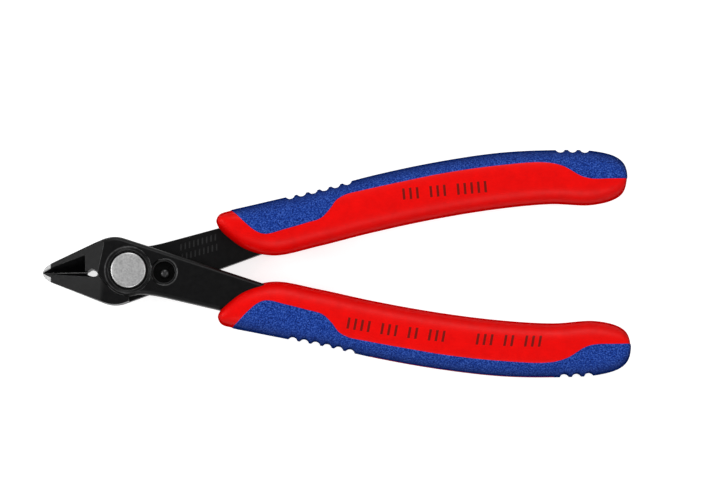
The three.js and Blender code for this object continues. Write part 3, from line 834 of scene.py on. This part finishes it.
class Nodes:
    """A material's node tree, with short calls for the nodes used here."""

    def __init__(self, name):
        self.material = bpy.data.materials.new(name)
        self.material.use_nodes = True
        self.tree = self.material.node_tree
        self.shader = self.tree.nodes["Principled BSDF"]
        self.place = self.tree.nodes.new("ShaderNodeTexCoord").outputs["Object"]

    def add(self, kind, settings=None, **inputs):
        node = self.tree.nodes.new(kind)
        for key, value in (settings or {}).items():
            setattr(node, key, value)
        for key, value in inputs.items():
            self.put(node.inputs[key.replace("_", " ")], value)
        return node

    def set(self, name, value):
        """Sets one of the shader's inputs."""
        self.put(self.shader.inputs[name], value)

    def put(self, socket, value):
        if isinstance(value, bpy.types.NodeSocket):
            self.tree.links.new(value, socket)
        else:
            socket.default_value = value

    def math(self, operation, a, b=0.0):
        node = self.tree.nodes.new("ShaderNodeMath")
        node.operation = operation
        self.put(node.inputs[0], a)
        self.put(node.inputs[1], b)
        return node.outputs[0]

    def noise(self, scale, detail=4.0, roughness=0.6, place=None):
        node = self.add("ShaderNodeTexNoise", Vector=place or self.place, Scale=scale, Detail=detail)
        node.inputs["Roughness"].default_value = roughness
        return node.outputs["Fac"]

    def ramp(self, value, stops):
        node = self.add("ShaderNodeValToRGB", Fac=value)
        elements = node.color_ramp.elements
        while len(elements) < len(stops):
            elements.new(0.5)
        for element, (position, colour) in zip(elements, stops):
            element.position = position
            element.color = (*colour, 1)
        return node.outputs["Color"]

    def mix(self, factor, a, b):
        node = self.tree.nodes.new("ShaderNodeMix")
        node.data_type = "RGBA"
        self.put(node.inputs[0], factor)
        self.put(node.inputs[6], a)
        self.put(node.inputs[7], b)
        return node.outputs[2]

    def facing(self, stops):
        """A value by how far the surface leans away from the eye: 0 square on, 1 edge on."""
        return self.ramp(self.add("ShaderNodeLayerWeight").outputs["Facing"], stops)

    def bump(self, height, distance, strength=1.0, normal=None):
        node = self.add("ShaderNodeBump", Height=height, Distance=distance, Strength=strength)
        if normal is not None:
            self.put(node.inputs["Normal"], normal)
        return node.outputs["Normal"]

    def split(self):
        return self.add("ShaderNodeSeparateXYZ", Vector=self.place).outputs

    def distance(self, a, b):
        return self.math("ABSOLUTE", self.math("SUBTRACT", a, b))


def row_x(x):
    return PIVOT.x + x * MM


def burnished_steel(edge_wear_and_highlight=False):
    """Black oiled steel with a fine grain; the jaws' noses are ground bright, and the broken edges are
    lighter, partly as wear and partly as a painted highlight.
    """
    n = Nodes("worn_and_highlit_edge_steel" if edge_wear_and_highlight else "burnished_steel")
    x, y, z = n.split()
    nose = n.math("LESS_THAN", x, row_x(-16.75))
    dart = n.math("MULTIPLY", n.math("SUBTRACT", x, row_x(-TIP)), 0.5)
    off_edge = n.math("GREATER_THAN", n.math("ABSOLUTE", y), n.math("ADD", dart, 0.0001))
    bright = n.math("MULTIPLY", nose, off_edge)
    cloud = n.noise(900, 5)
    if edge_wear_and_highlight:
        # The broken edges' faces: lighter and more metallic, partly wear and partly a painted highlight
        # along the edges.
        metal, surface = 0.6, n.ramp(cloud, [(0.3, grey(0.03)), (0.72, (0.1, 0.1, 0.102))])
    else:
        metal, dark, light = 0.0, (0.001, 0.001, 0.0012), (0.0045, 0.0045, 0.0048)
        surface = n.ramp(cloud, [(0.3, dark), (0.72, light)])
        surface = n.mix(hatch_floor(n, x, y, z), surface, (0.035, 0.035, 0.036, 1))
    n.set("Base Color", n.mix(bright, surface, (0.46, 0.46, 0.46, 1)))
    n.set("Metallic", n.math("ADD", n.math("MULTIPLY", bright, 0.3 - metal), metal))
    n.set("Roughness", n.ramp(n.noise(2600, 3), [(0.3, grey(0.34)), (0.7, grey(0.46))]))
    n.set("Specular IOR Level", 0.15)
    n.set("Normal", n.bump(n.noise(5200, 3), 0.000012, 0.5))
    return n.material


def hatch_floor(n, x, y, z):
    """The bottoms of the strokes in the rear arm, which are lighter."""
    top, bottom = LAP_Z + HATCH_DEPTH - 0.04, LAP_Z + HATCH_DEPTH + 0.04
    low = n.math("LESS_THAN", z, PIVOT.z - top * MM)
    floor = n.math("MULTIPLY", low, n.math("GREATER_THAN", z, PIVOT.z - bottom * MM))
    along = n.math("LESS_THAN", n.distance(x, row_x(HATCH_CENTRE[0])), 5 * MM)
    across = n.math("LESS_THAN", n.distance(y, HATCH_CENTRE[1] * MM), 3 * MM)
    return n.math("MULTIPLY", floor, n.math("MULTIPLY", along, across))


def turned_steel(tone=0.66):
    """Satin steel with fine turning marks round the pivot and a slight mottle."""
    n = Nodes("turned_steel")
    x, y, _ = n.split()
    dx, dy = n.math("SUBTRACT", x, PIVOT.x), n.math("SUBTRACT", y, PIVOT.y)
    radius = n.math("SQRT", n.math("ADD", n.math("MULTIPLY", dx, dx), n.math("MULTIPLY", dy, dy)))
    ring = n.add("ShaderNodeCombineXYZ", X=radius).outputs["Vector"]
    rings = n.noise(14000, 2, place=ring)
    mottle = n.noise(2800, 4)
    n.set("Base Color", n.ramp(mottle, [(0.32, grey(tone * 0.82)), (0.68, grey(tone * 1.12))]))
    n.set("Metallic", 1.0)
    n.set("Roughness", n.ramp(mottle, [(0.3, grey(0.34)), (0.7, grey(0.5))]))
    height = n.math("ADD", n.math("MULTIPLY", rings, 0.6), n.math("MULTIPLY", n.noise(4200, 3), 0.8))
    n.set("Normal", n.bump(height, 0.00001, 0.6))
    return n.material


def dark_pin_steel():
    n = Nodes("blackened_pin_steel")
    tone = n.ramp(n.noise(2500, 4), [(0.3, (0.03, 0.03, 0.031)), (0.7, (0.07, 0.07, 0.072))])
    n.set("Base Color", tone)
    n.set("Metallic", 0.7)
    n.set("Roughness", n.ramp(n.noise(3000), [(0.3, grey(0.28)), (0.7, grey(0.4))]))
    return n.material


def spring_wire():
    n = Nodes("drawn_spring_wire")
    n.set("Base Color", n.ramp(n.noise(2000), [(0.3, grey(0.28)), (0.7, grey(0.42))]))
    n.set("Metallic", 1.0)
    n.set("Roughness", n.ramp(n.noise(3000), [(0.3, grey(0.22)), (0.7, grey(0.36))]))
    return n.material


def printed_bars(n, side):
    """Rows of plain printed bars, in groups, along the middle of the grip's front flank."""
    pitch = 1.45 * MM
    if side > 0:
        start, tilt, sag, groups = (58.6, 15.0), math.radians(4.2), 0.0, [(0, 3), (4, 7), (8, 13)]
    else:
        start, tilt, sag = (46.4, -12.15), math.radians(-11.6), 2.2
        groups = [(0, 4), (5, 8), (9, 11), (12, 15), (19, 22), (23, 25), (26, 29)]
    x, y, z = n.split()
    dx = n.math("SUBTRACT", x, row_x(start[0]))
    dy = n.math("SUBTRACT", y, start[1] * MM)
    c, s = math.cos(tilt), math.sin(tilt)
    along = n.math("ADD", n.math("MULTIPLY", dx, c), n.math("MULTIPLY", dy, s))
    across = n.math("SUBTRACT", n.math("MULTIPLY", dy, c), n.math("MULTIPLY", dx, s))
    curve = n.math("MULTIPLY", n.math("MULTIPLY", along, along), sag)
    in_height = n.math("LESS_THAN", n.distance(across, curve), 1.2 * MM)
    steps = n.math("MULTIPLY", along, 1 / pitch)
    bar = n.math("LESS_THAN", n.math("FRACT", steps), 0.36)
    count = groups[-1][1]
    ramp = n.add("ShaderNodeValToRGB", Fac=n.math("MULTIPLY", n.math("FLOOR", steps), 1 / count))
    ramp.color_ramp.interpolation = "CONSTANT"
    elements = ramp.color_ramp.elements
    while len(elements) < 2 * len(groups):
        elements.new(0.5)
    for k, (low, high) in enumerate(groups):
        elements[2 * k].position, elements[2 * k].color = max(low - 0.5, 0) / count, (1, 1, 1, 1)
        elements[2 * k + 1].position, elements[2 * k + 1].color = (high - 0.5) / count, (0, 0, 0, 1)
    inside = n.math("MULTIPLY", ramp.outputs["Color"], n.math("GREATER_THAN", along, 0.0))
    front = n.math("GREATER_THAN", z, PIVOT.z + 3 * MM)
    return n.math("MULTIPLY", n.math("MULTIPLY", bar, in_height), n.math("MULTIPLY", inside, front))


def hard_red(side):
    """Moulded red plastic, satin, with printed marks on its front flank, and painted shade darkening its
    rims.
    """
    n = Nodes("hard_red_upper" if side > 0 else "hard_red_lower")
    shade = n.ramp(n.noise(420, 3), [(0.3, (0.8, 0.0006, 0.0004)), (0.7, (0.92, 0.0012, 0.0006))])
    # Painted shade: the red darkens towards the rims, where the surface turns away from the eye.
    painted_rim_shade = n.facing([(0.15, grey(0)), (0.75, grey(0.55))])
    shade = n.mix(painted_rim_shade, shade, (0.36, 0.0003, 0.0002, 1))
    n.set("Base Color", n.mix(printed_bars(n, side), shade, (0.19, 0.008, 0.005, 1)))
    n.set("Roughness", n.ramp(n.noise(1800, 3), [(0.3, grey(0.36)), (0.7, grey(0.46))]))
    sheen = n.facing([(0.3, grey(0.1)), (0.65, grey(0.0))])
    n.set("Specular IOR Level", sheen)
    fine = n.bump(n.noise(3800, 3), 0.00002, 0.35)
    n.set("Normal", n.bump(n.noise(260, 2), 0.00008, 0.25, fine))
    return n.material


def soft_blue():
    """Soft overlay with a fine leathery grain of lighter and darker specks, and painted shade darkening its
    rims.
    """
    n = Nodes("soft_blue")
    cells = n.add("ShaderNodeTexVoronoi", {"feature": "F1"}, Vector=n.place, Scale=2600.0)
    grain = cells.outputs["Distance"]
    specks = n.noise(3400, 3, 0.7)
    dark, middle, light = (0.001, 0.01, 0.11), (0.005, 0.042, 0.31), (0.05, 0.13, 0.52)
    tone = n.ramp(specks, [(0.36, dark), (0.5, middle), (0.64, light)])
    # Painted shade: the blue darkens towards the rims, where the surface turns away from the eye.
    painted_rim_shade = n.facing([(0.1, grey(0)), (0.7, grey(0.75))])
    n.set("Base Color", n.mix(painted_rim_shade, tone, (0.001, 0.006, 0.06, 1)))
    n.set("Roughness", n.ramp(specks, [(0.3, grey(0.72)), (0.7, grey(0.55))]))
    n.set("Specular IOR Level", n.facing([(0.3, grey(0.1)), (0.65, grey(0.0))]))
    height = n.math("ADD", n.math("MULTIPLY", grain, 0.9), n.math("MULTIPLY", specks, 0.7))
    n.set("Normal", n.bump(height, 0.00009, 0.75))
    return n.material


# ---- Putting it together ----

def finish_piece(piece, name, body, node, materials, smooth_angle):
    """Brings a piece into the row frame and hands it over. A piece without a body is left unattached."""
    piece.name = name
    piece.data.name = name
    piece.data.transform(TO_ROW)
    slots = piece.data.materials
    while len(slots) < len(materials):
        slots.append(None)
    for index, material in enumerate(materials):
        slots[index] = material
    for polygon in piece.data.polygons:
        polygon.use_smooth = True
    piece.data.set_sharp_from_angle(angle=math.radians(smooth_angle))
    if body is not None:
        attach(piece, body)
    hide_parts(node)
    return piece


def weighted(piece):
    modifier = piece.modifiers.new("flat faces stay flat", "WEIGHTED_NORMAL")
    modifier.keep_sharp = True
    modifier.weight = 100


def build_steel():
    # The second steel lightens the broken edges: partly wear, partly a painted highlight.
    steels = [burnished_steel(), burnished_steel(edge_wear_and_highlight=True)]
    bright, dark, wire = [turned_steel()], [dark_pin_steel()], [spring_wire()]
    front, rear = front_half(), rear_half()
    finish_piece(front, "front_half_forging", "front", "front_half", steels, 32)
    finish_piece(rear, "rear_half_forging", "rear", "rear_half", steels, 32)
    rivet = finish_piece(pivot_rivet(), "rivet", "front", "pivot_rivet", bright, 40)
    for piece in (front, rear, rivet):
        weighted(piece)
    finish_piece(rivet_collar(), "rivet_ring", "front", "rivet_collar", bright, 40)
    finish_piece(stop_pin(), "opening_stop", "rear", "stop_pin", dark, 50)
    spring = opening_spring()
    finish_piece(spring, "torsion_spring", None, "opening_spring", wire, 50)
    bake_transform(spring)


def build_grips():
    shape = GripShape()
    start = overlay_start(shape)
    tree = seam_tree(shape, start)
    core, overlay = grip_core(shape, start, tree), grip_overlay(shape, start, tree)
    blue = soft_blue()
    for side, name, body in ((1, "upper", "rear"), (-1, "lower", "front")):
        turn = Matrix.Identity(4) if side > 0 else TURNED_OVER
        hard, soft = copy_of(core, turn), copy_of(overlay, turn)
        finish_piece(hard, f"{name}_core", body, f"{name}_grip_core", [hard_red(side)], 60)
        finish_piece(soft, f"{name}_overlay", body, f"{name}_grip_overlay", [blue], 60)
    for pattern in (core, overlay):
        bpy.data.objects.remove(pattern)


def build_stage():
    n = Nodes("pale_floor")
    n.set("Base Color", n.ramp(n.noise(3, 2), [(0.3, grey(0.6)), (0.7, grey(0.62))]))
    n.set("Roughness", 0.9)
    n.set("Specular IOR Level", 0.1)
    n.set("Emission Color", (1, 1, 1, 1))
    n.set("Emission Strength", 0.75)
    reach, z = 3.0, cad_bounds[0][2] - 0.0002
    corners = [(-reach, -reach, z), (reach, -reach, z), (reach, reach, z), (-reach, reach, z)]
    floor = piece_from("floor", corners, [(0, 1, 2, 3)])
    floor.data.materials.append(n.material)
    floor.visible_diffuse = False


def area_light(name, place, size, power):
    """A round soft light that looks at the object's middle."""
    lamp = bpy.data.lights.new(name, "AREA")
    lamp.shape = "DISK"
    lamp.size = size
    lamp.energy = power
    light = bpy.data.objects.new(name, lamp)
    bpy.context.scene.collection.objects.link(light)
    light.location = place
    light.rotation_euler = (-Vector(place)).to_track_quat("-Z", "Y").to_euler()


def build_light():
    scene = bpy.context.scene
    scene.view_settings.view_transform = "Standard"
    world = bpy.data.worlds.new("soft_studio")
    world.use_nodes = True
    background = world.node_tree.nodes["Background"]
    background.inputs["Color"].default_value = (1, 1, 1, 1)
    background.inputs["Strength"].default_value = 0.36
    scene.world = world
    area_light("left", (-0.62, 0.05, 0.48), 0.42, 2.2)
    area_light("right", (0.62, 0.0, 0.84), 0.45, 1.5)
    area_light("back", (0.05, 0.78, 0.56), 0.3, 2.6)
    area_light("front", (0.05, -0.78, 0.56), 0.3, 2.2)


def build_camera():
    """Square on above the tool, leaning a little towards its near side, with a long lens."""
    scene = bpy.context.scene
    lens = bpy.data.cameras.new("camera")
    camera = bpy.data.objects.new("camera", lens)
    scene.collection.objects.link(camera)
    distance, across = 1.2, 150.75 * MM
    lens.sensor_width = 36
    lens.lens = 36 * distance / across
    lens.clip_end = 20
    elevation, roll = math.radians(86.0), math.radians(1.0)
    target = PIVOT + Vector((47.98, 4.31, 0)) * MM
    away = Vector((0, -math.cos(elevation), math.sin(elevation)))
    camera.location = target + away * distance
    look = (target - camera.location).to_track_quat("-Z", "Y")
    camera.rotation_euler = (look.to_matrix().to_4x4() @ Matrix.Rotation(-roll, 4, "Z")).to_euler()
    scene.camera = camera


build_camera()
build_stage()
build_light()
build_steel()
build_grips()
